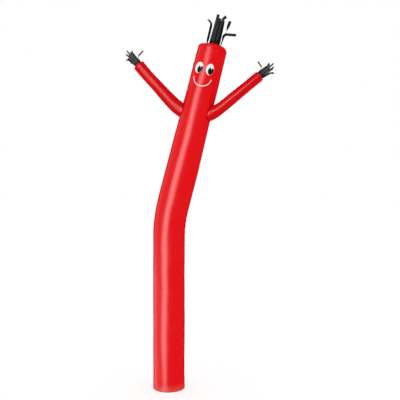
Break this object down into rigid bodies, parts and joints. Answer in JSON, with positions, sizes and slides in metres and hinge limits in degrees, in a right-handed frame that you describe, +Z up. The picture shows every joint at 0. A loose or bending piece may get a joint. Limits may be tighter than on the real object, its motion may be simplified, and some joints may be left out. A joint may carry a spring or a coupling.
{
  "type": "inflatable air dancer",
  "caption": "Tall leaning tube of thin red cloth that a blower fills, with raised arms, a smiling face and black fringes in its open ends.",
  "frame": {"origin": "on the ground, under the middle of the whole figure's box; the foot's middle is at x = -0.445 m", "axes": "+Z up, -Y towards the side that the face looks to, +X the way the figure leans"},
  "size_m": [2.1351, 0.4704, 5.3838],
  "materials": {
    "red_cloth": "smooth satin nylon",
    "black_cloth": "smooth satin nylon",
    "white_cloth": "smooth satin nylon"
  },
  "bodies": {
    "root": {"body_tube": "red_cloth", "crown_panel": "red_cloth", "left_arm": "red_cloth", "right_arm": "red_cloth", "head_fringe": "black_cloth", "left_hand_fringe": "black_cloth", "right_hand_fringe": "black_cloth", "left_eye": "white_cloth", "right_eye": "white_cloth", "left_pupil": "black_cloth", "right_pupil": "black_cloth", "smile": "white_cloth"}
  },
  "joints": []
}
